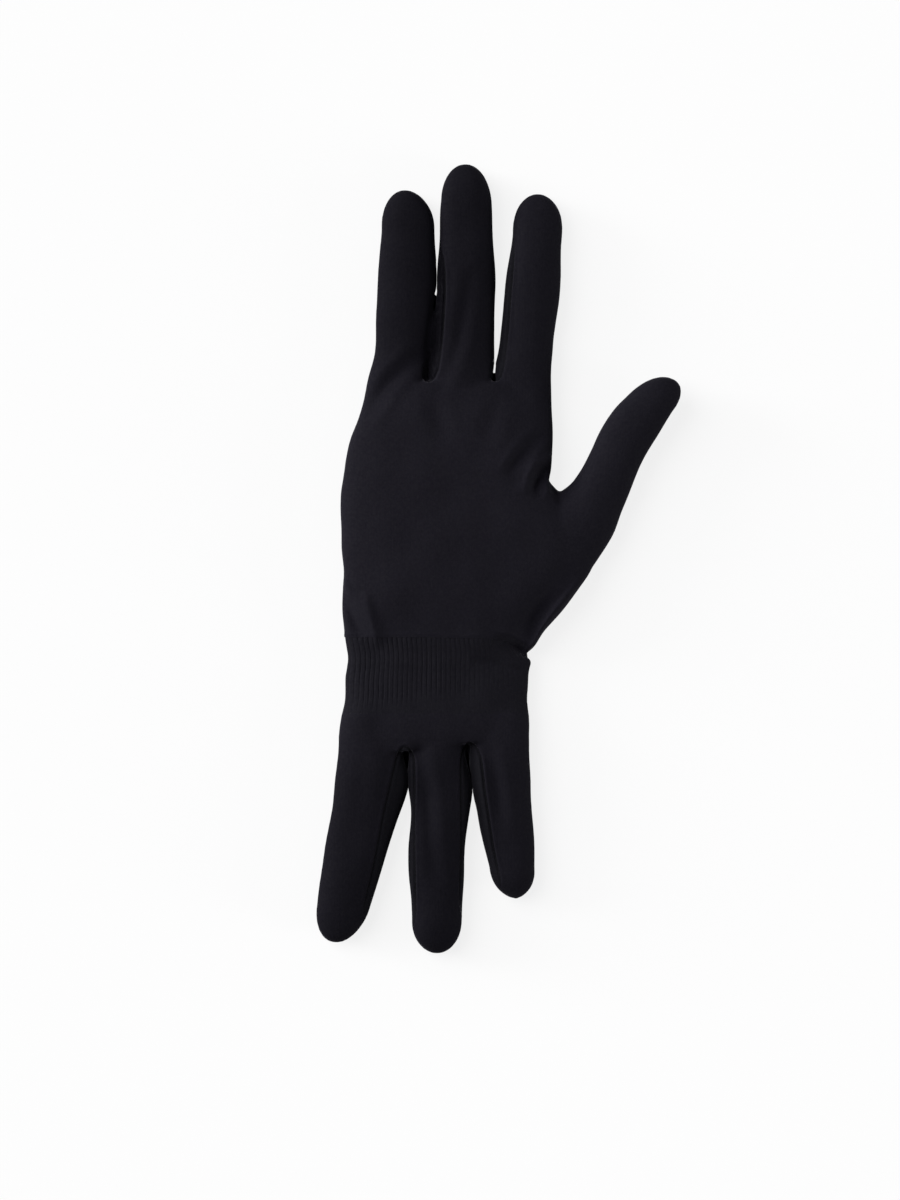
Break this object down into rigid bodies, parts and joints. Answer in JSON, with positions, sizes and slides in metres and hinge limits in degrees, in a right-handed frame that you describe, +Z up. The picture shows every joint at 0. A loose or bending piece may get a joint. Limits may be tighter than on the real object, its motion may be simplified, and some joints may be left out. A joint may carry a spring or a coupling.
{
  "type": "double-ended stretch dress glove",
  "caption": "Double-ended dark stretch glove lying flat: fingers and a thumb above a ribbed wrist band, more fingers below it, hollow throughout.",
  "frame": {"origin": "on the surface, under the middle of the glove's outer box", "axes": "+Y along the glove to the upper fingertips, +X to the thumb's side, +Z up from the surface it lies on"},
  "size_m": [0.1462, 0.3163, 0.0178],
  "materials": {
    "stretch_cloth": "smooth, fine, matt stretch jersey, near black",
    "strip_cloth": "the same jersey, run the other way, a shade darker",
    "rib_knit": "fine knitted rib, near black"
  },
  "bodies": {
    "root": {"hand_shell": "stretch_cloth", "left_finger": "stretch_cloth", "middle_finger": "stretch_cloth", "right_finger": "stretch_cloth", "thumb": "stretch_cloth", "side_strip_left": "strip_cloth", "side_strip_right": "strip_cloth", "rib_band": "rib_knit", "lower_hand_shell": "stretch_cloth", "lower_left_finger": "stretch_cloth", "lower_middle_finger": "stretch_cloth", "lower_right_finger": "stretch_cloth", "lower_side_strip_left": "strip_cloth", "lower_side_strip_right": "strip_cloth"}
  },
  "joints": []
}
